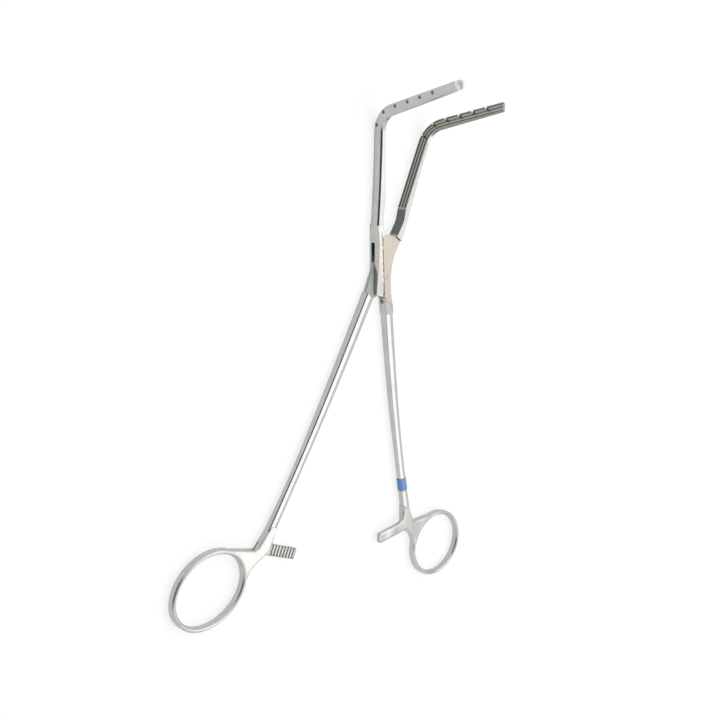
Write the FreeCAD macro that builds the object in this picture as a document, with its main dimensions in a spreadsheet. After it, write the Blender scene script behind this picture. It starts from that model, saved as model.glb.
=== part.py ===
import FreeCAD, Part
import Sketcher
import math
import os
from types import SimpleNamespace

# Bronchus clamp: two forged halves that cross in a box lock, with angled jaws and finger rings.
# Frame: millimetres, +Z up, lying flat. The pivot axis is Z through the origin, the origin is on the
# underside of the box lock, the jaws point to +Y and bend up to +Z. Both halves are drawn closed, and
# each one is then turned about the pivot to the opening of the rest pose.

DRIVING_SIZES = [
    ("open_half", 13.7, "turn of each half at rest, degrees"),
    ("jaw_gap", 0.1, "gap left between the clamping faces when closed"),
    ("jaw_width", 4.2, "jaw from back edge to front edge on the straight part"),
    ("tip_width", 3.5, "jaw from back edge to front edge at its end"),
    ("jaw_root", 4.1, "jaw thickness at the box lock"),
    ("jaw_thick", 2.15, "jaw thickness at the tip"),
    ("jaw_waist_radius", 500.0, "hollow of the jaw's outer side"),
    ("root_y", 20.0, "where the jaw starts to thin"),
    ("bend_y", 55.0, "where the bend starts"),
    ("bend_radius", 9.3, "bend radius on the row of pins"),
    ("bend_turn", 72.3, "turn of the bend, degrees"),
    ("row_height", 1.3, "row of pins above the jaw's back edge"),
    ("row_first", 2.4, "first pin after the start of the bend, along the row"),
    ("pin_pitch", 6.0, "pin spacing along the row"),
    ("pin_count", 6, "pins in the row"),
    ("pin_diameter", 1.0, "jaw pin"),
    ("pin_proud", 2.1, "jaw pin above the clamping face"),
    ("pin_point", 0.8, "pointed length of a jaw pin"),
    ("pin_seat", 1.5, "depth of a jaw pin in its jaw"),
    ("hole_diameter", 1.3, "hole in the other jaw that takes a pin"),
    ("end_female", 8.6, "jaw with holes, past the last hole"),
    ("end_male", 6.75, "jaw with pins, past the last pin"),
    ("nose_length", 3.2, "nose past the end of the jaw with holes"),
    ("nose_step", 1.1, "nose set in from the jaw's outer side"),
    ("face_y", 27.8, "where the clamping face starts"),
    ("relief_depth", 1.05, "step back of the jaw below its clamping face"),
    ("relief_ramp", 4.5, "length of the slope into the step"),
    ("groove_width", 0.5, "groove along the clamping face"),
    ("groove_depth", 0.35, "groove depth"),
    ("groove_pitch", 1.35, "groove spacing"),
    ("groove_first", 0.65, "first groove on the back side of the row"),
    ("edge_bevel", 0.6, "bevel of the jaw's outer edges"),
    ("lock_half", 4.1, "box lock from the pivot to its straight side"),
    ("lock_height", 4.9, "box lock at its ridge"),
    ("lock_top", 15.6, "rounded top edge of the box lock, from the pivot"),
    ("lock_lobe", 10.6, "wide upper corner of the box lock, sideways"),
    ("lock_foot", 7.3, "lower corner of the box lock below the pivot"),
    ("lock_waist", 18.0, "hollow of the box lock's wide side"),
    ("lock_end", 13.5, "lower end of the box lock below the pivot"),
    ("slot_floor", 0.85, "back wall of the box lock"),
    ("slot_height", 1.6, "slot through the box lock"),
    ("slot_top", 13.2, "upper end of the slot above the pivot"),
    ("slot_bottom", 12.0, "lower end of the slot below the pivot"),
    ("slot_side", 1.2, "slot's closed corner, beside the middle"),
    ("slide_gap", 0.1, "gap above and below the tongue"),
    ("shoulder_gap", 0.25, "gap between the box lock's top edge and the jaw's shoulder"),
    ("heel_radius", 10.4, "lower shoulder of the tongue, from the pivot"),
    ("rivet_diameter", 3.2, "pivot rivet"),
    ("rivet_gap", 0.04, "running gap round the rivet in the tongue"),
    ("shank_y", 9.0, "shank's buried upper end below the pivot"),
    ("shank_width", 4.4, "shank width at the box lock"),
    ("shank_waist", 3.6, "shank width at its thinnest"),
    ("shank_root", 3.9, "shank width at the web of the ring"),
    ("shank_height", 3.5, "shank height at the box lock"),
    ("shank_slim", 3.1, "shank height at its thinnest"),
    ("shank_lift", 0.9, "thinnest stretch of the shank above the flat back"),
    ("shank_bevel", 0.35, "bevel along the shank's edges"),
    ("shank_ridge", 0.17, "rise of the shank's front from those bevels to its middle"),
    ("web_y", 104.0, "where the shank meets the web of the ring"),
    ("ring_x", 38.4, "ring centre beside the middle"),
    ("ring_y", 130.2, "ring centre below the pivot"),
    ("ring_long", 15.7, "longer half width of the ring's opening"),
    ("ring_short", 13.1, "shorter half width of the ring's opening"),
    ("ring_tilt", 28.3, "tilt of the ring's long axis, degrees"),
    ("ring_wall", 1.8, "ring wall"),
    ("ring_low", 0.4, "back of the ring above the flat back of the lock"),
    ("ring_height", 3.5, "front of the ring above the flat back of the lock"),
    ("crotch_radius", 1.5, "fillet between the shank's outer edge and the ring"),
    ("web_radius", 8.0, "fillet between the ratchet arm and the ring"),
    ("ring_bevel", 0.6, "bevel of the ring and the web"),
    ("arm_y", 112.8, "middle of the ratchet arm below the pivot"),
    ("arm_width", 4.4, "ratchet arm width"),
    ("arm_reach", 1.8, "ratchet arm past the middle"),
    ("arm_root", 3.0, "fillet between the ratchet arm and the shank"),
    ("arm_clear", 0.2, "gap between the two arms' teeth"),
    ("tooth_pitch", 1.75, "ratchet tooth spacing"),
    ("tooth_depth", 0.45, "ratchet tooth depth"),
    ("tooth_count", 8, "ratchet teeth on each arm"),
    ("tooth_land", 0.35, "flat on top of a ratchet tooth"),
    ("band_y", 93.5, "middle of the marking band below the pivot"),
    ("band_length", 5.8, "marking band length"),
    ("band_thick", 0.15, "marking band wall"),
]


class Size:
    """A number together with the spreadsheet expression that gives it."""

    def __init__(self, value, text):
        self.value = float(value)
        self.text = text

    def __add__(self, other):
        other = size(other)
        return Size(self.value + other.value, f"({self.text} + {other.text})")

    def __sub__(self, other):
        other = size(other)
        return Size(self.value - other.value, f"({self.text} - {other.text})")

    def __mul__(self, other):
        other = size(other)
        return Size(self.value * other.value, f"({self.text} * {other.text})")

    def __truediv__(self, other):
        other = size(other)
        return Size(self.value / other.value, f"({self.text} / {other.text})")

    def __neg__(self):
        return self * -1

    __rmul__ = __mul__
    __radd__ = __add__


def size(number):
    """A plain number as a Size."""
    return number if isinstance(number, Size) else Size(number, repr(float(number)))


def sine(degrees):
    return Size(math.sin(math.radians(degrees.value)), f"sin({degrees.text})")


def cosine(degrees):
    return Size(math.cos(math.radians(degrees.value)), f"cos({degrees.text})")


def root(square):
    return Size(math.sqrt(square.value), f"sqrt({square.text})")


doc = FreeCAD.newDocument("bronchus_clamp")
sheet = doc.addObject("Spreadsheet::Sheet", "sizes")
for line, (alias, number, meaning) in enumerate(DRIVING_SIZES, start=1):
    sheet.set(f"A{line}", meaning)
    sheet.set(f"B{line}", str(number))
    sheet.setAlias(f"B{line}", alias)
doc.recompute()
d = SimpleNamespace(**{alias: Size(number, f"sizes.{alias}") for alias, number, _ in DRIVING_SIZES})

THROUGH = size(200)    # longer than the whole clamp, for cuts that go right through
SLOPE_TOP = size(12)   # above the whole box lock, for cuts that leave a slope


# Sketch and feature helpers

def origin_part(body, role):
    return next(part for part in body.Origin.OriginFeatures if part.Role == role)


def sketch(body, name, plane, height=None):
    """An empty sketch on one of the body's origin planes, height above it along the plane's normal."""
    made = body.newObject("Sketcher::SketchObject", name)
    made.AttachmentSupport = [(origin_part(body, plane), "")]
    made.MapMode = "FlatFace"
    if height is not None:
        made.setExpression("AttachmentOffset.Base.z", height.text)
    return made


def pin_down(made, kind, *where, number):
    """One constraint of a sketch, bound to the expression of a Size."""
    index = made.addConstraint(Sketcher.Constraint(kind, *where, number.value))
    made.setExpression(f"Constraints[{index}]", number.text)


def place_point(made, curve, end, x, y):
    pin_down(made, "DistanceX", -1, 1, curve, end, number=x)
    pin_down(made, "DistanceY", -1, 1, curve, end, number=y)


def outline(made, corners):
    """A closed outline. A corner is (x, y), or (x, y, radius) where an arc leads to the next corner:
    a positive radius turns left, a negative one turns right."""
    corners = [tuple(size(number) for number in corner) for corner in corners]
    edges = []
    for here, there in zip(corners, corners[1:] + corners[:1]):
        start = FreeCAD.Vector(here[0].value, here[1].value, 0)
        stop = FreeCAD.Vector(there[0].value, there[1].value, 0)
        if len(here) == 2:
            edges.append((made.addGeometry(Part.LineSegment(start, stop)), 1, 2))
            continue
        radius = abs(here[2].value)
        left_turn = here[2].value > 0
        chord = stop - start
        across = FreeCAD.Vector(-chord.y, chord.x, 0).normalize()
        rise = math.sqrt(radius ** 2 - (chord.Length / 2) ** 2)
        centre = (start + stop) * 0.5 + across * (rise if left_turn else -rise)
        first, last = (start, stop) if left_turn else (stop, start)
        angles = [math.atan2(point.y - centre.y, point.x - centre.x) for point in (first, last)]
        circle = Part.Circle(centre, FreeCAD.Vector(0, 0, 1), radius)
        curve = made.addGeometry(Part.ArcOfCircle(circle, *angles))
        edges.append((curve, 1, 2) if left_turn else (curve, 2, 1))
        pin_down(made, "Radius", curve, number=Size(radius, f"abs({here[2].text})"))
    for (curve, start, _), corner in zip(edges, corners):
        place_point(made, curve, start, corner[0], corner[1])
    for before, after in zip(edges, edges[1:] + edges[:1]):
        made.addConstraint(Sketcher.Constraint("Coincident", before[0], before[2], after[0], after[1]))


def circle(made, x, y, radius):
    place = FreeCAD.Vector(x.value, y.value, 0)
    curve = made.addGeometry(Part.Circle(place, FreeCAD.Vector(0, 0, 1), radius.value))
    place_point(made, curve, 3, x, y)
    pin_down(made, "Radius", curve, number=radius)


def ellipse(made, x, y, long_half, short_half, tilt):
    """An ellipse whose long axis is tilted by so many degrees from the sketch's first axis."""
    turn = math.radians(tilt.value)
    centre = FreeCAD.Vector(x.value, y.value, 0)
    along = FreeCAD.Vector(math.cos(turn), math.sin(turn), 0)
    across = FreeCAD.Vector(-along.y, along.x, 0)
    tips = (centre + along * long_half.value, centre + across * short_half.value)
    curve = made.addGeometry(Part.Ellipse(*tips, centre))
    made.exposeInternalGeometry(curve)
    axis = made.Geometry[curve + 1]
    forward = (axis.EndPoint - axis.StartPoint).dot(along) > 0
    place_point(made, curve, 3, x, y)
    pin_down(made, "Distance", curve + 1, number=long_half * 2)
    pin_down(made, "Distance", curve + 2, number=short_half * 2)
    heading = tilt if forward else tilt + 180
    pin_down(made, "Angle", curve + 1, number=heading * Size(math.pi / 180, "1 deg"))


def pad(body, name, profile, length, side="One side", reverse=False):
    made = body.newObject("PartDesign::Pad", name)
    made.Profile = profile
    made.SideType = side
    made.Reversed = reverse
    made.setExpression("Length", length.text)
    return made


def pocket(body, name, profile, length, side="One side", reverse=False):
    """A cut, checked to take something away."""
    doc.recompute()
    before = body.Shape.Volume
    made = body.newObject("PartDesign::Pocket", name)
    made.Profile = profile
    made.SideType = side
    made.Reversed = reverse
    made.setExpression("Length", length.text)
    doc.recompute()
    if not made.Shape.Volume < before:
        raise RuntimeError(f"{name} cuts nothing")
    return made


def fillet(body, name, base, edges, radius):
    made = body.newObject("PartDesign::Fillet", name)
    made.Base = (base, edges)
    made.setExpression("Radius", radius.text)
    doc.recompute()
    return made


def bevel(body, name, base, edges, width):
    made = body.newObject("PartDesign::Chamfer", name)
    made.Base = (base, edges)
    made.setExpression("Size", width.text)
    doc.recompute()
    return made


def sloped_cut(body, name, first, second):
    """Everything above a ruled slope is cut away. Each end of it is its depth below the pivot and two
    points of the slope there."""
    ends = []
    for number, (depth, left, right) in enumerate((first, second)):
        made = sketch(body, f"{name}_end_{number}", "XZ_Plane", size(depth))
        outline(made, [left, right, (right[0], SLOPE_TOP), (left[0], SLOPE_TOP)])
        ends.append(made)
    doc.recompute()
    before = body.Shape.Volume
    loft = body.newObject("PartDesign::SubtractiveLoft", name)
    loft.Profile = ends[0]
    loft.Sections = ends[1:]
    doc.recompute()
    if not loft.Shape.Volume < before:
        raise RuntimeError(f"{name} cuts nothing")


def middle_of(edge):
    return edge.valueAt((edge.FirstParameter + edge.LastParameter) / 2)


def edges_where(feature, test):
    """Names of the feature's edges whose middle point passes the test."""
    return [f"Edge{number}" for number, edge in enumerate(feature.Shape.Edges, start=1)
            if test(middle_of(edge))]


def upright_near(feature, x, y):
    """Name of the feature's upright edge that stands nearest to a point of the plan."""
    best = None
    for number, edge in enumerate(feature.Shape.Edges, start=1):
        first, last = edge.valueAt(edge.FirstParameter), edge.valueAt(edge.LastParameter)
        if math.hypot(first.x - last.x, first.y - last.y) > 1e-6 or abs(first.z - last.z) < 1e-6:
            continue
        away = math.hypot(first.x - x, first.y - y)
        if best is None or away < best[0]:
            best = (away, f"Edge{number}")
    return best[1]


# The row of pins, in the plane of a jaw's side view: first axis along Y, second along Z

def row_length():
    """Length of the bend along the row."""
    return d.bend_radius * d.bend_turn * Size(math.pi / 180, "(pi / 180)")


def beside_row(along, offset):
    """Point beside the row: along it from the start of the bend, offset towards the inside of the bend."""
    centre_y = d.bend_y
    centre_z = d.row_height + d.bend_radius
    radius = d.bend_radius - offset
    if along.value <= 0:
        return (d.bend_y + along, d.row_height + offset)
    if along.value < row_length().value:
        turned = along / d.bend_radius * Size(180 / math.pi, "(180 / pi)")
        return (centre_y + radius * sine(turned), centre_z - radius * cosine(turned))
    on = along - row_length()
    return (centre_y + radius * sine(d.bend_turn) + on * cosine(d.bend_turn),
            centre_z - radius * cosine(d.bend_turn) + on * sine(d.bend_turn))


def strip(made, start, stop, near, far):
    """A strip that follows the row between two offsets, from start to stop along it."""
    bend_start, bend_stop = size(0), row_length()
    outline(made, [
        beside_row(start, near),
        beside_row(bend_start, near) + (d.bend_radius - near,),
        beside_row(bend_stop, near),
        beside_row(stop, near),
        beside_row(stop, far),
        beside_row(bend_stop, far) + (-(d.bend_radius - far),),
        beside_row(bend_start, far),
        beside_row(start, far),
    ])


def pin_places():
    return [beside_row(d.row_first + d.pin_pitch * k, size(0)) for k in range(int(d.pin_count.value))]


def jaw_stop(end):
    """End of a jaw along the row, given how far it goes on after the last pin."""
    return d.row_first + d.pin_pitch * (d.pin_count - 1) + end


# Pieces that both halves share. hand is 1 for the half whose handle is on +X, and -1 for the other.

def web_and_ring(body, hand):
    """Finger ring with the web that joins it to the shank, bevelled all over."""
    x, y = d.ring_x * hand, -d.ring_y
    tilt = -d.ring_tilt if hand > 0 else d.ring_tilt + 180
    disc = sketch(body, "ring_outline", "XY_Plane", d.ring_low)
    ellipse(disc, x, y, d.ring_long + d.ring_wall, d.ring_short + d.ring_wall, tilt)
    pad(body, "ring_disc", disc, d.ring_height - d.ring_low)

    inner, outer = d.ring_x - 24.2, d.ring_x - 20.4
    crotch = (d.ring_x - 16.8, -d.ring_y + 16.8)
    side = (d.ring_x - 13.4, -d.ring_y + 5.4)
    web = sketch(body, "web_outline", "XY_Plane", d.ring_low)
    outline(web, [
        (inner * hand, -d.web_y),
        ((inner + 0.2) * hand, -d.arm_y - 0.4),
        (side[0] * hand, side[1]),
        ((d.ring_x - 5) * hand, -d.ring_y),
        ((d.ring_x - 1.6) * hand, -d.ring_y + 15.2),
        (crotch[0] * hand, crotch[1]),
        (outer * hand, -d.web_y),
    ])
    joined = pad(body, "web", web, d.ring_height - d.ring_low)
    doc.recompute()
    corner = upright_near(joined, crotch[0].value * hand, crotch[1].value)
    turned = fillet(body, "outer_crotch", joined, [corner], d.crotch_radius)
    corner = upright_near(turned, (side[0].value - 2.0) * hand, side[1].value + 2.1)
    turned = fillet(body, "inner_crotch", turned, [corner], d.web_radius)

    def flat_edge(point):
        level = min(abs(point.z - d.ring_low.value), abs(point.z - d.ring_height.value))
        return level < 1e-6 and point.y < -d.web_y.value - 0.01

    bevel(body, "ring_bevels", turned, edges_where(turned, flat_edge), d.ring_bevel)
    opening = sketch(body, "ring_opening", "XY_Plane")
    ellipse(opening, x, y, d.ring_long, d.ring_short, tilt)
    hollow = pocket(body, "ring_hole", opening, THROUGH, side="Symmetric")

    def opening_edge(point):
        level = min(abs(point.z - d.ring_low.value), abs(point.z - d.ring_height.value))
        turn = math.radians(tilt.value)
        off = (point.x - x.value, point.y - y.value)
        along = (off[0] * math.cos(turn) + off[1] * math.sin(turn)) / d.ring_long.value
        across = (off[1] * math.cos(turn) - off[0] * math.sin(turn)) / d.ring_short.value
        return level < 1e-6 and math.hypot(along, across) < 1.01

    bevel(body, "opening_bevels", hollow, edges_where(hollow, opening_edge), d.ring_bevel)


def shank_sections():
    """Depth below the pivot, middle, width, underside and top of the shank where it is drawn."""
    return [
        (d.shank_y, size(3.25), d.shank_width, size(0), d.shank_height),
        (size(36), size(6.15), d.shank_width - 0.2, d.shank_lift / 3, d.shank_height - 0.1),
        (size(66), size(10.0), d.shank_waist + 0.1, d.shank_lift * 0.67, d.shank_height - 0.2),
        (size(88), size(13.5), d.shank_waist, d.shank_lift, d.shank_height - 0.2),
        (d.web_y + 3.0, size(16.9), d.shank_root, d.ring_low + 0.1, d.ring_height - 0.02),
    ]


def shank_loft(body, name, hand, proud=None):
    """Slim bowed shank with bevelled edges and a ridge on its front. proud makes it that much larger."""
    proud = size(0) if proud is None else proud
    drawn = []
    for number, (depth, middle, width, low, high) in enumerate(shank_sections()):
        made = sketch(body, f"{name}_section_{number}", "XZ_Plane", depth)
        half = width / 2 + proud
        centre = middle * hand
        foot, head = low - proud, high + proud
        outline(made, [
            (centre - half + d.shank_bevel, foot),
            (centre + half - d.shank_bevel, foot),
            (centre + half, foot + d.shank_bevel),
            (centre + half, head - d.shank_ridge - d.shank_bevel),
            (centre + half - d.shank_bevel, head - d.shank_ridge),
            (centre, head),
            (centre - half + d.shank_bevel, head - d.shank_ridge),
            (centre - half, head - d.shank_ridge - d.shank_bevel),
            (centre - half, foot + d.shank_bevel),
        ])
        drawn.append(made)
    loft = body.newObject("PartDesign::AdditiveLoft", name)
    loft.Profile = drawn[0]
    loft.Sections = drawn[1:]
    return loft


def ratchet_arm(body, hand, low, high, toothed_top):
    """Arm towards the other handle, with saw teeth on the face that meets the other arm."""
    tip = -d.arm_reach * hand
    foot = (d.ring_x - 22.4) * hand
    edge = (d.ring_x - 24.1) * hand
    near, far = -d.arm_y + d.arm_width / 2, -d.arm_y - d.arm_width / 2
    plan = sketch(body, "arm_outline", "XY_Plane", low)
    outline(plan, [
        (foot, far),
        (foot, near + d.arm_root),
        (edge, near + d.arm_root, -d.arm_root * hand),
        (edge - d.arm_root * hand, near),
        (tip, near),
        (tip, far),
    ])
    bar = pad(body, "arm", plan, high - low)
    doc.recompute()
    corner = edges_where(bar, lambda point: abs(point.x - tip.value) < 1e-6
                         and min(abs(point.y - near.value), abs(point.y - far.value)) < 1e-6)
    fillet(body, "arm_corners", bar, corner, size(0.7))

    face, floor = (high, high - d.tooth_depth) if toothed_top else (low, low + d.tooth_depth)
    profile = sketch(body, "tooth_space", "XZ_Plane", -near)
    start = tip + d.tooth_land * hand
    outline(profile, [
        (start, face),
        (start + (d.tooth_pitch - d.tooth_land) * hand, face),
        (start + (d.tooth_pitch - d.tooth_land) * hand, floor),
    ])
    space = pocket(body, "tooth_cut", profile, d.arm_width, reverse=True)
    rack = body.newObject("PartDesign::LinearPattern", "ratchet_teeth")
    rack.Originals = [space]
    rack.Direction = (origin_part(body, "X_Axis"), [""])
    rack.Reversed = hand < 0
    rack.setExpression("Length", (d.tooth_pitch * (d.tooth_count - 1)).text)
    rack.setExpression("Occurrences", d.tooth_count.text)
    body.Tip = rack
    doc.recompute()


def jaw_blank(body, hand, end):
    """Side view of the jaw, bent up at its end, drawn from the lock to the tip."""
    profile = sketch(body, "jaw_side", "YZ_Plane")
    start = d.root_y - d.bend_y - 8.0
    back, front = -d.row_height, d.jaw_width - d.row_height
    tip_front = d.tip_width - d.row_height
    nose = (d.tip_width * 0.53,) if hand > 0 else ()
    stop = jaw_stop(end)
    outline(profile, [
        beside_row(start, back),
        beside_row(size(0), back) + (d.bend_radius - back,),
        beside_row(row_length(), back),
        beside_row(stop, back) + nose,
        beside_row(stop, tip_front),
        beside_row(row_length(), front) + (-(d.bend_radius - front),),
        beside_row(size(0), front),
        beside_row(start, front),
    ])
    return pad(body, "jaw_blank", profile, d.jaw_root, reverse=hand > 0)


def jaw_shape(body, hand, root_step):
    """Outer taper of the jaw, and the step back below its clamping face."""
    far = size(95)
    face = -d.jaw_gap / 2
    waste = sketch(body, "jaw_plan", "XY_Plane")
    outside = [
        (-d.jaw_root, d.root_y, hand * d.jaw_waist_radius),
        (-d.jaw_thick, d.bend_y + 21.0),
        (-d.jaw_thick, far),
        (-d.jaw_root - 3.0, far),
        (-d.jaw_root - 3.0, d.root_y),
    ]
    relief = -d.relief_depth
    inside = [
        (face, far),
        (face, d.face_y),
        (relief, d.face_y - d.relief_ramp),
    ] + root_step + [(size(3), far)]
    for corners in (outside, inside):
        outline(waste, [(corner[0] * hand,) + corner[1:] for corner in corners])
    return pocket(body, "jaw_waste", waste, THROUGH, side="Symmetric")


def jaw_bevels(body, hand):
    """Broken outer edges along the jaw, from the lock to the tip."""
    base = body.Tip

    def outer_edge(point):
        return -point.x * hand > 1.9 and point.y > d.root_y.value + 0.01

    bevel(body, "jaw_bevels", base, edges_where(base, outer_edge), d.edge_bevel)


def jaw_grooves(body, hand, end):
    """Grooves along the clamping face, round the bend and out to the tip."""
    start = d.face_y - d.bend_y
    for number in range(3):
        lines = sketch(body, f"groove_lines_{number}", "YZ_Plane")
        middle = d.groove_pitch * number - d.groove_first
        strip(lines, start, jaw_stop(end) + 3.0, middle - d.groove_width / 2, middle + d.groove_width / 2)
        pocket(body, f"groove_{number}", lines, (d.groove_depth + d.jaw_gap / 2) * 2, side="Symmetric")


def new_body(name):
    made = doc.addObject("PartDesign::Body", name)
    made.Label = name
    return made


def turn_open(made, hand):
    """The half's turn about the pivot in the rest pose."""
    made.Placement = FreeCAD.Placement(FreeCAD.Vector(), FreeCAD.Rotation(FreeCAD.Vector(0, 0, 1), 0))
    made.setExpression("Placement.Rotation.Angle", (d.open_half * hand).text)


# Female half: box lock with a slot right through it, jaw with holes, upper ratchet arm

def make_female_half():
    body = new_body("female_half")
    web_and_ring(body, 1)
    shank_loft(body, "shank", 1)
    jaw_blank(body, 1, d.end_female + d.nose_length)
    root_step = [(-d.relief_depth, d.lock_top + 2.0), (-0.6, d.lock_top - 5.0), (3, d.lock_top - 5.0)]
    jaw_shape(body, 1, root_step)
    jaw_bevels(body, 1)

    lobe_y = root(d.lock_top * d.lock_top - d.lock_lobe * d.lock_lobe)
    crest_x = size(0.6)
    crest_y = root(d.lock_top * d.lock_top - crest_x * crest_x)
    plan = sketch(body, "lock_outline", "XY_Plane")
    outline(plan, [
        (-d.lock_half, d.root_y),
        (-d.lock_half, -d.lock_foot),
        (0.0, -d.lock_foot - 1.5, -3.0),
        (1.4, -d.lock_end + 2.0),
        (2.1, -d.lock_end - 3.0),
        (6.1, -d.lock_end - 3.0),
        (5.7, -d.lock_end, -d.lock_waist * 1.6),
        (d.lock_half - 0.25, -0.5, -d.lock_waist),
        (d.lock_lobe, lobe_y, d.lock_top),
        (crest_x, crest_y, -2.2),
        (-d.relief_depth, d.lock_top + 2.0),
        (-d.relief_depth, d.root_y),
    ])
    pad(body, "lock_block", plan, d.lock_height)
    doc.recompute()

    upper_end, lower_end = -d.root_y + 1.0, d.lock_end + 3.0
    sloped_cut(body, "left_facet",
               (upper_end, (-12, d.lock_height - 2.3), (6, d.lock_height + 4.9)),
               (lower_end, (-12, d.lock_height - 5.35), (6, d.lock_height + 1.85)))
    sloped_cut(body, "right_facet",
               (upper_end, (-8, d.lock_height + 0.68), (14, d.lock_height - 1.96)),
               (lower_end, (-8, d.lock_height + 1.48), (14, d.lock_height - 2.92)))
    ramp = sketch(body, "lock_ramp", "YZ_Plane")
    outline(ramp, [
        (-d.lock_end - 5.0, d.shank_height),
        (-d.lock_end - 3.0, d.shank_height),
        (-d.lock_end + 5.0, d.lock_height),
        (d.lock_top - 1.0, d.lock_height),
        (d.root_y + 0.5, d.jaw_width),
        (d.root_y + 0.5, d.lock_height + 2.0),
        (-d.lock_end - 5.0, d.lock_height + 2.0),
    ])
    pocket(body, "lock_slopes", ramp, size(40), side="Symmetric")

    slot = sketch(body, "slot_plan", "XY_Plane", d.slot_floor)
    outline(slot, [
        (-20, -d.slot_bottom),
        (20, -d.slot_bottom),
        (20, d.lock_top + 4.0),
        (-0.5, d.lock_top + 4.0),
        (-0.5, d.lock_top + 0.5),
        (-d.slot_side, d.slot_top),
        (-20, d.slot_top),
    ])
    pocket(body, "slot", slot, d.slot_height, reverse=True)
    bore = sketch(body, "rivet_bore", "XY_Plane")
    circle(bore, size(0), size(0), d.rivet_diameter / 2)
    pocket(body, "bore", bore, THROUGH, side="Symmetric")

    jaw_grooves(body, 1, d.end_female + d.nose_length)
    holes = sketch(body, "hole_row", "YZ_Plane")
    for y, z in pin_places():
        circle(holes, y, z, d.hole_diameter / 2)
    pocket(body, "pin_holes", holes, d.jaw_root * 4, side="Symmetric")

    notch_start, notch_stop = jaw_stop(d.end_female), jaw_stop(d.end_female + d.nose_length + 3.0)
    nose = sketch(body, "nose_plan", "YZ_Plane", -d.jaw_thick - 2.0)
    outline(nose, [
        beside_row(notch_start, -d.row_height - 1.0) + (size(3.2),),
        beside_row(notch_start + 1.2, d.jaw_width - d.row_height + 1.0),
        beside_row(notch_stop, d.jaw_width - d.row_height + 1.0),
        beside_row(notch_stop, -d.row_height - 1.0),
    ])
    pocket(body, "nose", nose, d.nose_step + 2.0, reverse=True)
    middle = (d.ring_height + d.ring_low) / 2
    ratchet_arm(body, 1, middle + d.arm_clear / 2, d.ring_height, False)
    turn_open(body, 1)
    return body


# Male half: thin tongue that runs in the slot, jaw with pins, lower ratchet arm

def make_male_half():
    body = new_body("male_half")
    web_and_ring(body, -1)
    shank_loft(body, "shank", -1)
    jaw_blank(body, -1, d.end_male)
    root_step = [(-d.relief_depth, d.root_y + 1.5), (-0.25, d.root_y - 3.2), (-0.25, d.root_y - 9.0),
                 (3, d.root_y - 9.0)]
    jaw_shape(body, -1, root_step)
    jaw_bevels(body, -1)

    tongue_corners = [
        (1.1, d.root_y),
        (0.35, d.lock_top + 0.4),
        (-0.35, d.slot_top - 0.2),
        (-6.0, 3.0),
        (-5.55, -8.6),
        (-5.2, -d.lock_end),
        (-2.2, -d.lock_end),
        (-1.2, -10.8),
        (1.5, -8.0),
        (3.6, -1.0),
        (d.jaw_root, 8.0),
        (d.jaw_root, d.root_y),
    ]
    block = sketch(body, "root_outline", "XY_Plane")
    outline(block, tongue_corners[:3] + [(-0.35, 8.0)] + tongue_corners[-2:])
    pad(body, "root_block", block, d.shank_height)
    doc.recompute()

    shoulder = d.lock_top + d.shoulder_gap
    far_x = size(12)
    relief = sketch(body, "tongue_relief", "XY_Plane")
    outline(relief, [
        (-9, -root(d.heel_radius * d.heel_radius - 81.0)),
        (-9, root(shoulder * shoulder - 81.0), -shoulder),
        (far_x, root(shoulder * shoulder - far_x * far_x)),
        (far_x, -d.heel_radius * 0.6),
        (6, -root(d.heel_radius * d.heel_radius - 36.0), -d.heel_radius),
    ])
    pocket(body, "shoulders", relief, THROUGH, side="Symmetric")
    blade = sketch(body, "tongue_outline", "XY_Plane", d.slot_floor + d.slide_gap)
    outline(blade, tongue_corners)
    pad(body, "tongue", blade, d.slot_height - d.slide_gap * 2)
    doc.recompute()
    bore = sketch(body, "rivet_bore", "XY_Plane")
    circle(bore, size(0), size(0), d.rivet_diameter / 2 + d.rivet_gap)
    pocket(body, "bore", bore, THROUGH, side="Symmetric")

    jaw_grooves(body, -1, d.end_male)
    holes = sketch(body, "seat_row", "YZ_Plane")
    for y, z in pin_places():
        circle(holes, y, z, d.pin_diameter / 2)
    pocket(body, "pin_seats", holes, (d.pin_seat + d.jaw_gap / 2) * 2, side="Symmetric")
    middle = (d.ring_height + d.ring_low) / 2
    ratchet_arm(body, -1, d.ring_low, middle - d.arm_clear / 2, True)
    turn_open(body, -1)
    return body


# Pivot rivet, ground flush with both walls of the box lock

def make_pivot_rivet():
    body = new_body("pivot_rivet")
    plan = sketch(body, "rivet_outline", "XY_Plane")
    circle(plan, size(0), size(0), d.rivet_diameter / 2)
    pad(body, "rivet", plan, d.lock_height + 0.5)
    doc.recompute()
    crown = sketch(body, "rivet_crown", "XZ_Plane")
    outline(crown, [
        (-4, d.lock_height - 0.02),
        (-1.5, d.lock_height - 0.02),
        (4, d.lock_height - 0.92),
        (4, d.lock_height + 2.0),
        (-4, d.lock_height + 2.0),
    ])
    pocket(body, "ground_face", crown, size(10), side="Symmetric")
    turn_open(body, 1)
    return body


# Jaw pins: round pins with a point, pressed into the jaw

def make_jaw_pin(number, place):
    body = new_body(f"jaw_pin_{number}")
    half = d.pin_diameter / 2
    profile = sketch(body, "pin_half", "XZ_Plane")
    outline(profile, [
        (d.pin_seat, 0),
        (d.pin_seat, half),
        (-(d.pin_proud - d.pin_point), half),
        (-d.pin_proud, half * 0.25),
        (-d.pin_proud, 0),
    ])
    turned = body.newObject("PartDesign::Revolution", "pin")
    turned.Profile = profile
    turned.ReferenceAxis = (origin_part(body, "X_Axis"), [""])
    turned.Angle = 360
    y, z = place
    face = d.jaw_gap / 2
    turn_open(body, -1)
    body.setExpression("Placement.Base.x", (face * cosine(d.open_half) + y * sine(d.open_half)).text)
    body.setExpression("Placement.Base.y", (y * cosine(d.open_half) - face * sine(d.open_half)).text)
    body.setExpression("Placement.Base.z", z.text)
    return body


# Marking band: thin sleeve round the shank of the female half

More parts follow.
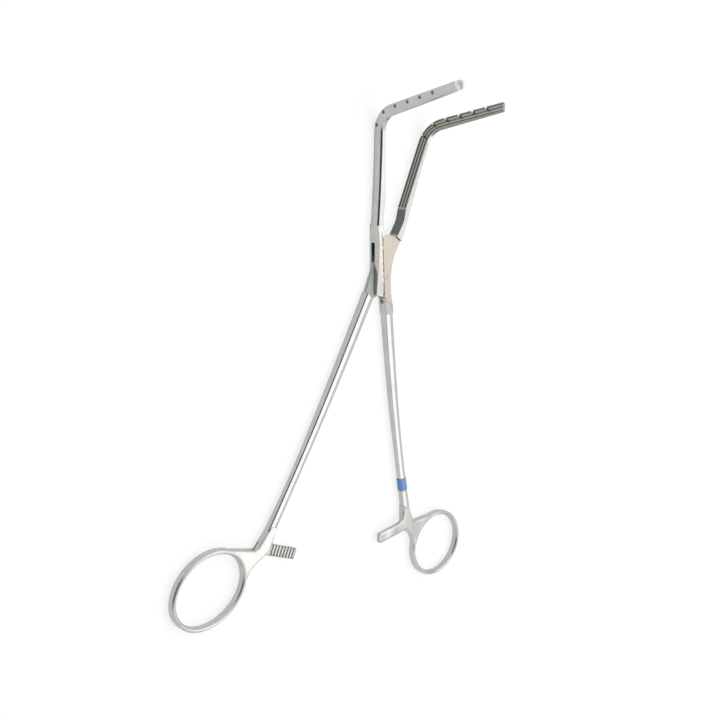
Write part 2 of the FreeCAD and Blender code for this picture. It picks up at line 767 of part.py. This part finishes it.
def make_marking_band(half):
    blank = doc.addObject("PartDesign::Body", "band_blank")
    shank_loft(blank, "sleeve", 1, proud=d.band_thick)
    window = sketch(blank, "band_window", "XY_Plane")
    for near, far in ((size(0), d.band_y - d.band_length / 2), (d.band_y + d.band_length / 2, size(140))):
        outline(window, [(-40, -near), (-40, -far), (40, -far), (40, -near)])
    doc.recompute()
    pocket(blank, "band_ends", window, size(40), side="Symmetric")
    turn_open(blank, 1)
    band = doc.addObject("Part::Cut", "marking_band")
    band.Label = "marking_band"
    band.Base = blank
    band.Tool = half
    return band


female_half = make_female_half()
male_half = make_male_half()
pieces = [female_half, male_half, make_pivot_rivet()]
pieces += [make_jaw_pin(number, place) for number, place in enumerate(pin_places(), start=1)]
pieces.append(make_marking_band(female_half))
doc.recompute()

for item in doc.Objects:
    if any(flag in item.State for flag in ("Invalid", "Error")):
        raise RuntimeError(f"{item.Name} is in state {item.State}")
for piece in pieces:
    if piece.Shape.isNull() or not piece.Shape.isValid():
        raise RuntimeError(f"{piece.Label} has no valid shape")

os.makedirs("parts", exist_ok=True)
for piece in pieces:
    piece.Shape.exportStep(f"parts/{piece.Label}.step")
    print(piece.Label, len(piece.Shape.Solids), round(piece.Shape.Volume, 1))
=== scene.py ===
import math
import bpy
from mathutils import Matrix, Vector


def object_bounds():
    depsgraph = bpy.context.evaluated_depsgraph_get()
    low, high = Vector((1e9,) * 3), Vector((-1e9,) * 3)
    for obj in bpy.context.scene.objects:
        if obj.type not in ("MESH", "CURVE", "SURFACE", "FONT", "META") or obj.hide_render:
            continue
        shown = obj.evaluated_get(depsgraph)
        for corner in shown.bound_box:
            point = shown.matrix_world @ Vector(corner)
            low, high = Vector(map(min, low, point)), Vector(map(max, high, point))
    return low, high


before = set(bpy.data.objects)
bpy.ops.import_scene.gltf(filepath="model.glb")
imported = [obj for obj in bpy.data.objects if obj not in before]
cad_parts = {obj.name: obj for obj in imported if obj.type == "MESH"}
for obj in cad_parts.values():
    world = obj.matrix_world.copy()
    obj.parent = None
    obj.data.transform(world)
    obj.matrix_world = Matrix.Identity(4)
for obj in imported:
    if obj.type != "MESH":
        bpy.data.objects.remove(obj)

from types import SimpleNamespace

import bmesh
import bpy
from mathutils import Euler, Vector

MM = 0.001
CAD_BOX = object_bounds()
UP = (0, 0, 1)

# Places along a half of the clamp, from the pivot towards its jaw
RATCHET_MIDDLE = -112.8 * MM
HANDLE_FROM = -106 * MM           # the web, the ratchet arm and the ring lie below
LOCK_FROM = -10 * MM
LOCK_TO = 15 * MM
JAW_FROM = 16 * MM
CLAMP_FACE_FROM = 17 * MM
GROOVES_FROM = 27.8 * MM

# Other sizes of the clamp
OPEN_HALF = math.radians(13.7)    # the rest pose turns each half this far about the pivot
TONGUE_REACH = 10.4 * MM          # the lower shoulder of the box lock's tongue, from the pivot
CUT_ASIDE = 2.1 * MM              # how far the cut teeth look grey to either side of their arm's middle
CUT_FROM = 1.3 * MM               # a height just below the floors of the left arm's teeth
CUT_TO = 1.66 * MM                # a height a little over half way up them
NOSE_REACH = 3.4 * MM             # the nose of the jaw with holes, from the jaw's far corner
RIDGE_ASIDE = 1.39 * MM           # the box lock's ridge at the pivot, from the right half's middle line
RIDGE_LEAN = 0.048                # the ridge leans a little towards the jaw with holes

# How far edges are rounded on the polishing wheel
CRISP = 0.25 * MM
HAND_ROUNDED = 1.4 * MM

# The camera of the photograph, in the part's frame
CAMERA_PLACE = Vector((-330.6, 18.9, 268.6)) * MM
CAMERA_TURN = (-17.46, -48.836, 13.475)
CAMERA_LENS = 54.4

# The studio, in metres. A strength of 1 is white.
FLOOR_REACH = 20.0
TENT_STRENGTH = 1.05
OPENING_DARK = math.radians(26)   # the tent's opening round the lens is all dark up to here
OPENING_EDGE = math.radians(44)
KEY_PLACE = (0.447, 0.0, 0.663)   # faces that look up mirror its lower edge to the lens
KEY_WIDTH = 1.0
KEY_HEIGHT = 0.52
KEY_STRENGTH = 0.95


# Materials

def linear(code):
    """Linear RGBA of an sRGB hex code."""
    channels = [int(code[i:i + 2], 16) / 255 for i in (1, 3, 5)]
    return [c / 12.92 if c <= 0.04045 else ((c + 0.055) / 1.055) ** 2.4 for c in channels] + [1.0]


def per_metre(size):
    """The scale of a pattern whose marks are a size in millimetres."""
    return 1 / (size * MM)


def new_material(name):
    made = bpy.data.materials.new(name)
    made.use_nodes = True
    made.node_tree.nodes.clear()
    return made


def add(made, kind, settings=None, **links):
    """Adds a node to a material or world. Settings are its properties, or its sockets' values by name or
    number. Each link names a socket, or gives its number after _, and what goes in: a socket, or a node for
    the first of its outputs that is in use."""
    tree = made.node_tree
    node = tree.nodes.new("ShaderNode" + kind)
    for key, value in (settings or {}).items():
        if isinstance(key, str) and hasattr(node, key):
            setattr(node, key, value)
        else:
            node.inputs[key].default_value = value
    for key, source in links.items():
        socket = node.inputs[int(key[1:])] if key[0] == "_" else node.inputs[key.replace("_", " ")]
        if hasattr(source, "outputs"):
            source = next(out for out in source.outputs if out.enabled)
        tree.links.new(source, socket)
    return node


def overlap(made, *shares):
    """The area that several areas have in common."""
    common = shares[0]
    for share in shares[1:]:
        common = add(made, "Math", {"operation": "MULTIPLY"}, _0=common, _1=share)
    return common


def within(made, value, low, high, soft):
    """1 where a value lies between low and high, falling to 0 over a soft edge at either end."""
    rise = add(made, "MapRange", {"From Min": low - soft, "From Max": low}, Value=value)
    fall = add(made, "MapRange", {"From Min": high, "From Max": high + soft, "To Min": 1.0, "To Max": 0.0},
               Value=value)
    return overlap(made, rise, fall)


def lay(made, finish, share, colour, rough=None):
    """Lays a colour over a finish by its share, and a roughness too where one is given. A finish is a colour
    and a roughness."""
    under, grain = finish
    over = add(made, "Mix", {"data_type": "RGBA", 7: linear(colour)}, Factor=share, _6=under)
    if rough is not None:
        grain = add(made, "Mix", {"data_type": "FLOAT", 3: rough}, Factor=share, _2=grain)
    return over, grain


def places_on_half(made, hand):
    """The places and directions that the finishes of a half go by. ahead is how far a spot lies from the
    pivot along the half, towards its jaw, and aside how far across it. inward is where the jaw's inner face
    looks, and backward points from the jaw to the ring. hand is 1 for the half with holes and -1 for the
    half with pins."""
    place = add(made, "TexCoord")
    spot = place.outputs["Object"]
    across = (math.cos(OPEN_HALF), hand * math.sin(OPEN_HALF), 0)
    along = (-hand * math.sin(OPEN_HALF), math.cos(OPEN_HALF), 0)
    return SimpleNamespace(
        made=made, spot=spot, normal=place.outputs["Normal"],
        inward=[hand * part for part in across], backward=[-part for part in along],
        ahead=add(made, "VectorMath", {"operation": "DOT_PRODUCT", 1: along}, _0=spot),
        aside=add(made, "VectorMath", {"operation": "DOT_PRODUCT", 1: across}, _0=spot))


def facing(half, direction, low, high):
    """1 on faces that look in a direction, and 0 where they turn away from it."""
    square_on = add(half.made, "VectorMath", {"operation": "DOT_PRODUCT", 1: direction}, _0=half.normal)
    return add(half.made, "MapRange", {"From Min": low, "From Max": high}, Value=square_on)


def satin_steel(name, hand):
    """Surgical stainless steel, forged, ground and then polished to a satin sheen. It gives the eye soft
    reflections that run along the shanks, with fine streaks of the grinding in them, and dark lines where
    the rounded edges mirror the dark of the room."""
    made = new_material(name)
    half = places_on_half(made, hand)
    # grinding marks that run along the half, drawn 0.25 mm apart, coarser than real ones, so that they show
    stroke = (per_metre(0.25), per_metre(11.11), per_metre(0.25))
    turned = add(made, "Mapping", {"Rotation": (0, 0, -hand * OPEN_HALF), "Scale": stroke}, Vector=half.spot)
    streaks = add(made, "TexNoise", {"Scale": 1.0, "Detail": 3.0, "Roughness": 0.6}, Vector=turned)
    # cloudy patches of about 6 mm, from handling and washing
    clouds = add(made, "TexNoise", {"Scale": per_metre(6.25), "Detail": 4.0, "Roughness": 0.55},
                 Vector=half.spot)
    tone = add(made, "ValToRGB", Fac=clouds)
    dull, clean = tone.color_ramp.elements
    dull.position, dull.color = 0.3, linear("#b5b7b5")
    clean.position, clean.color = 0.7, linear("#c1c1be")
    rough = add(made, "MapRange", {"From Min": 0.3, "From Max": 0.7, "To Min": 0.15, "To Max": 0.25},
                Value=streaks)

    finish = (tone, rough)
    if hand > 0:
        finish = polished_lock(half, finish)
    else:
        finish = milled_tongue(half, finish)
        finish = cut_ratchet(half, finish)
    finish = matt_inner_face_with_painted_shade(half, finish)
    # painted shade: the dark in the corners along the jaw's edges is broad on the jaw with holes, and a fine
    # line on the other
    finish = painted_shade_in_corners(half, finish, 0.9 if hand > 0 else 0.55)
    finish = painted_highlight_on_nose(half, finish) if hand > 0 else painted_shade_on_front(half, finish)

    ground = ground_edges(half)
    bump = add(made, "Bump", {"Strength": 0.12, "Distance": 0.01 * MM}, Height=streaks, Normal=ground)
    colour, rough = finish
    steel = add(made, "BsdfPrincipled", {"Metallic": 1.0}, Base_Color=colour, Roughness=rough, Normal=bump)
    add(made, "OutputMaterial", Surface=steel)
    return made


def ground_edges(half):
    """Normals of edges that are broken on a polishing wheel: crisp on the lock, the jaws and the shanks, and
    rounded on the handles. The handles are ground free-hand, so their surfaces swell and sink over some
    9 mm, which bends the reflections in them. That is drawn deeper than it is, so that it shows."""
    made = half.made
    radius = add(made, "MapRange", {"From Min": HANDLE_FROM - 3 * MM, "From Max": HANDLE_FROM,
                                    "To Min": HAND_ROUNDED, "To Max": CRISP}, Value=half.ahead)
    edge = add(made, "Bevel", {"samples": 6}, Radius=radius)
    swell = add(made, "TexNoise", {"Scale": per_metre(9.09), "Detail": 0.0}, Vector=half.spot)
    handle = add(made, "MapRange", {"From Min": HANDLE_FROM - 6 * MM, "From Max": HANDLE_FROM, "To Min": 1.0,
                                    "To Max": 0.0}, Value=half.ahead)
    return add(made, "Bump", {"Strength": 1.0, "Distance": 0.6 * MM}, Height=overlap(made, swell, handle),
               Normal=edge)


def milled_tongue(half, finish):
    """The tongue of the box lock runs hidden, so it is left as milled, without gloss."""
    made = half.made
    flat = add(made, "VectorMath", {"operation": "MULTIPLY", 1: (1, 1, 0)}, _0=half.spot)
    out = add(made, "VectorMath", {"operation": "LENGTH"}, _0=flat)
    tongue = add(made, "MapRange", {"From Min": TONGUE_REACH, "From Max": TONGUE_REACH + 0.1 * MM,
                                    "To Min": 1.0, "To Max": 0.0}, Value=out)
    return lay(made, finish, tongue, "#c9cbc8", 0.85)


def cut_ratchet(half, finish):
    """The ratchet's teeth are cut after the polishing, so they are grey and matt up from their floors."""
    made = half.made
    height = add(made, "VectorMath", {"operation": "DOT_PRODUCT", 1: UP}, _0=half.spot)
    low = within(made, height, CUT_FROM, CUT_TO, 0.06 * MM)
    arm = within(made, half.ahead, RATCHET_MIDDLE - CUT_ASIDE, RATCHET_MIDDLE + CUT_ASIDE, 0.05 * MM)
    return lay(made, finish, overlap(made, low, arm), "#5d5a54", 0.5)


def matt_inner_face_with_painted_shade(half, finish):
    """The jaw's inner face is left as milled, without gloss. Its darker colour is painted shade, deepest on
    the plain part and less deep on the grooved part, which is lapped.
    """
    made = half.made
    inner = facing(half, half.inward, 0.75, 0.9)
    plain = within(made, half.ahead, CLAMP_FACE_FROM, GROOVES_FROM - MM, MM)
    grooved = add(made, "MapRange", {"From Min": GROOVES_FROM - MM, "From Max": GROOVES_FROM},
                  Value=half.ahead)
    # painted shade: a darker colour on the inner face, deepest on its plain part
    finish = lay(made, finish, overlap(made, inner, plain), "#6e706c", 0.45)
    return lay(made, finish, overlap(made, inner, grooved), "#989993")


def painted_shade_in_corners(half, finish, most_open):
    """Painted shade in grooves, holes and inner corners: their colour is darkened where ambient occlusion
    finds little open room, most of all along the jaw.
    most_open is how open a spot there may be and still count a little."""
    made = half.made
    shut_in = add(made, "AmbientOcclusion", {"samples": 12, "Distance": 2 * MM})
    span = {"From Min": JAW_FROM, "From Max": JAW_FROM + 4 * MM}
    open_from = add(made, "MapRange", {**span, "To Min": 0.35, "To Max": most_open}, Value=half.ahead)
    deepest = add(made, "MapRange", {**span, "To Min": 0.5, "To Max": 0.97}, Value=half.ahead)
    share = add(made, "MapRange", {"From Min": 0.1, "To Max": 0.0}, Value=shut_in.outputs["AO"],
                From_Max=open_from, To_Min=deepest)
    # painted shade: a near-black colour laid where the corners are shut in
    return lay(made, finish, share, "#242422")


def painted_highlight_on_nose(half, finish):
    """A painted highlight: the nose at the end of the jaw with holes is given a pale colour and a higher
    roughness.
    """
    made = half.made
    corners = (point.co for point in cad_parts["female_half"].data.vertices)
    far_end = max(corners, key=lambda corner: corner.y + 2 * corner.z)
    off = add(made, "VectorMath", {"operation": "DISTANCE", 1: far_end}, _0=half.spot)
    nose = add(made, "MapRange", {"From Min": NOSE_REACH, "From Max": NOSE_REACH + 0.2 * MM, "To Min": 1.0,
                                  "To Max": 0.0}, Value=off)
    # painted highlight: a pale colour round the nose
    return lay(made, finish, nose, "#efefed", 0.7)


def painted_shade_on_front(half, finish):
    """Painted shade on the front edge of the jaw with pins, past its bend: faces that look back along the
    half are given a darker beige-grey.
    """
    made = half.made
    jaw = add(made, "MapRange", {"From Min": GROOVES_FROM, "From Max": GROOVES_FROM + 20 * MM},
              Value=half.ahead)
    # painted shade: a darker beige-grey on faces that look backward
    return lay(made, finish, overlap(made, facing(half, half.backward, 0.35, 0.7), jaw), "#8f887d")


def polished_lock(half, finish):
    """The box lock's front is polished by hand after riveting. It shows faint cream, pink and green-grey
    films, and a fine brown line of left polish along its ridge."""
    made = half.made
    front = overlap(made, facing(half, UP, 0.7, 0.85), within(made, half.ahead, LOCK_FROM, LOCK_TO, 3 * MM))
    # films some 2 mm wide, drawn out along the lock by the polishing strokes
    stroke = (per_metre(2.38), per_metre(13.33), per_metre(2.38))
    drawn_out = add(made, "Mapping", {"Scale": stroke}, Vector=half.spot)
    films = add(made, "TexNoise", {"Scale": 1.0, "Detail": 3.0, "Roughness": 0.6}, Vector=drawn_out)
    pastel = add(made, "ValToRGB", Fac=films)
    cream, green_grey = pastel.color_ramp.elements
    cream.position, cream.color = 0.4, linear("#dbcda9")
    green_grey.position, green_grey.color = 0.6, linear("#c2ccc8")
    pastel.color_ramp.elements.new(0.5).color = linear("#dacbc9")
    colour, rough = finish
    share = add(made, "Math", {"operation": "MULTIPLY", 1: 0.7}, _0=front)
    colour = add(made, "Mix", {"data_type": "RGBA"}, Factor=share, _6=colour, _7=pastel)
    rough = add(made, "Mix", {"data_type": "FLOAT", 3: 0.36}, Factor=front, _2=rough)

    # the brown line wavers by up to half a millimetre either way, and is broken
    waver = add(made, "TexNoise", {"Scale": per_metre(1.111), "Detail": 2.0}, Vector=half.spot)
    drift = add(made, "MapRange", {"To Min": -0.5 * MM, "To Max": 0.5 * MM}, Value=waver)
    off_ridge = add(made, "Math", {"operation": "MULTIPLY_ADD", 1: RIDGE_LEAN, 2: RIDGE_ASIDE}, _0=half.ahead)
    for more in (half.aside, drift):
        off_ridge = add(made, "Math", {"operation": "ADD"}, _0=off_ridge, _1=more)
    line = within(made, off_ridge, -0.22 * MM, 0.22 * MM, 0.2 * MM)
    fleck = add(made, "MapRange", {"From Min": 0.25, "From Max": 0.45}, Value=waver)
    return lay(made, (colour, rough), overlap(made, line, front, fleck), "#6c6050")


def bright_pin_steel(name):
    """Hard drawn stainless wire, turned to a point and left bright. It gives the eye small sharp lights."""
    made = new_material(name)
    place = add(made, "TexCoord")
    # turning marks, drawn some 0.17 mm apart, coarser than real ones
    marks = add(made, "TexNoise", {"Scale": per_metre(0.1667), "Detail": 2.0}, Vector=place.outputs["Object"])
    rough = add(made, "MapRange", {"To Min": 0.1, "To Max": 0.2}, Value=marks)
    steel = add(made, "BsdfPrincipled", {"Metallic": 1.0, "Base Color": linear("#e2e3e2")}, Roughness=rough)
    add(made, "OutputMaterial", Surface=steel)
    return made


def blue_marking_tape(name):
    """Instrument marking tape, a soft vinyl wound on tight: an even blue with a low gloss and a fine skin."""
    made = new_material(name)
    place = add(made, "TexCoord")
    # the skin's grain, drawn 0.4 mm wide, coarser than a real one
    skin = add(made, "TexNoise", {"Scale": per_metre(0.4), "Detail": 3.0}, Vector=place.outputs["Object"])
    tone = add(made, "ValToRGB", Fac=skin)
    deep, pale = tone.color_ramp.elements
    deep.color = linear("#5f8cc8")
    pale.color = linear("#709bd2")
    edge = add(made, "Bevel", {"samples": 6, "Radius": 0.4 * MM})
    bump = add(made, "Bump", {"Strength": 0.25, "Distance": 0.03 * MM}, Height=skin, Normal=edge)
    vinyl = add(made, "BsdfPrincipled", {"Roughness": 0.5}, Base_Color=tone, Normal=bump)
    add(made, "OutputMaterial", Surface=vinyl)
    return made


def white_paper(name):
    """Seamless white paper, lit from behind as well so that it shows white, with the clamp's soft shadow."""
    made = new_material(name)
    paper = add(made, "BsdfPrincipled", {"Base Color": linear("#fafafa"), "Roughness": 0.9})
    glow = add(made, "Emission", {"Color": linear("#ffffff"), "Strength": 1.06})
    ray = add(made, "LightPath").outputs
    seen = ray["Is Camera Ray"]
    for other in (ray["Is Glossy Ray"], ray["Is Transmission Ray"]):
        seen = add(made, "Math", {"operation": "MAXIMUM"}, _0=seen, _1=other)
    share = add(made, "Math", {"operation": "MULTIPLY", 1: 0.72}, _0=seen)
    sheet = add(made, "MixShader", Fac=share, _1=paper, _2=glow)
    add(made, "OutputMaterial", Surface=sheet)
    return made


def dress(node, made):
    """Gives a CAD node its material on every slot."""
    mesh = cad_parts[node].data
    if not mesh.materials:
        mesh.materials.append(made)
    for slot in range(len(mesh.materials)):
        mesh.materials[slot] = made


def dress_clamp():
    """Gives every CAD node its finish. The rivet has the right half's, because it is ground flush with the
    lock and polished with it."""
    right_steel = satin_steel("satin_stainless_steel_holed_half", 1)
    dress("female_half", right_steel)
    dress("pivot_rivet", right_steel)
    dress("male_half", satin_steel("satin_stainless_steel_pinned_half", -1))
    dress("marking_band", blue_marking_tape("blue_vinyl_marking_tape"))
    pin_steel = bright_pin_steel("bright_drawn_stainless_wire")
    for node in sorted(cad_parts):
        if node.startswith("jaw_pin_"):
            dress(node, pin_steel)


# Floor, light and camera

def make_floor():
    sheet = bmesh.new()
    bmesh.ops.create_grid(sheet, x_segments=1, y_segments=1, size=FLOOR_REACH)
    mesh = bpy.data.meshes.new("floor")
    sheet.to_mesh(mesh)
    sheet.free()
    floor = bpy.data.objects.new("floor", mesh)
    floor.location.z = CAD_BOX[0][2]
    bpy.context.scene.collection.objects.link(floor)
    mesh.materials.append(white_paper("seamless_white_paper"))


def make_softbox():
    """One large softbox, across the clamp from the lens and above, that faces the clamp."""
    lamp = bpy.data.lights.new("key_softbox", "AREA")
    lamp.shape = "RECTANGLE"
    lamp.size = KEY_WIDTH
    lamp.size_y = KEY_HEIGHT
    lamp.energy = KEY_STRENGTH * math.pi * KEY_WIDTH * KEY_HEIGHT
    made = bpy.data.objects.new("key_softbox", lamp)
    made.location = KEY_PLACE
    made.rotation_euler = (-Vector(KEY_PLACE)).to_track_quat("-Z", "Y").to_euler()
    bpy.context.scene.collection.objects.link(made)


def make_light_tent():
    """A pale light tent. Through its opening round the lens, the edges mirror the dark of the room."""
    world = bpy.data.worlds.new("light_tent")
    world.use_nodes = True
    world.node_tree.nodes.clear()
    heading = add(world, "TexCoord").outputs["Generated"]
    height = add(world, "VectorMath", {"operation": "DOT_PRODUCT", 1: UP}, _0=heading)
    wall = add(world, "ValToRGB", Fac=height)
    low, high = wall.color_ramp.elements
    low.position, low.color = 0.1, linear("#e9e4da")
    high.position, high.color = 0.5, linear("#ffffff")
    toward_lens = add(world, "VectorMath", {"operation": "DOT_PRODUCT", 1: CAMERA_PLACE.normalized()},
                      _0=heading)
    opening = add(world, "MapRange", {"From Min": math.cos(OPENING_EDGE), "From Max": math.cos(OPENING_DARK)},
                  Value=toward_lens)
    tent = add(world, "Mix", {"data_type": "RGBA", 7: linear("#454645")}, Factor=opening, _6=wall)
    # past the paper's far edge, a picture shows only white
    ray = add(world, "LightPath")
    tent = add(world, "Mix", {"data_type": "RGBA", 7: linear("#ffffff")}, Factor=ray.outputs["Is Camera Ray"],
               _6=tent)
    sky = add(world, "Background", {"Strength": TENT_STRENGTH}, Color=tent)
    add(world, "OutputWorld", Surface=sky)
    bpy.context.scene.world = world


def make_camera():
    lens = bpy.data.cameras.new("photograph")
    lens.lens = CAMERA_LENS
    lens.sensor_width = 36
    lens.clip_start = 0.01
    made = bpy.data.objects.new("photograph", lens)
    made.location = CAMERA_PLACE
    made.rotation_euler = Euler([math.radians(angle) for angle in CAMERA_TURN])
    bpy.context.scene.collection.objects.link(made)
    bpy.context.scene.camera = made


dress_clamp()
make_floor()
make_light_tent()
make_softbox()
make_camera()
bpy.context.scene.view_settings.view_transform = "Standard"
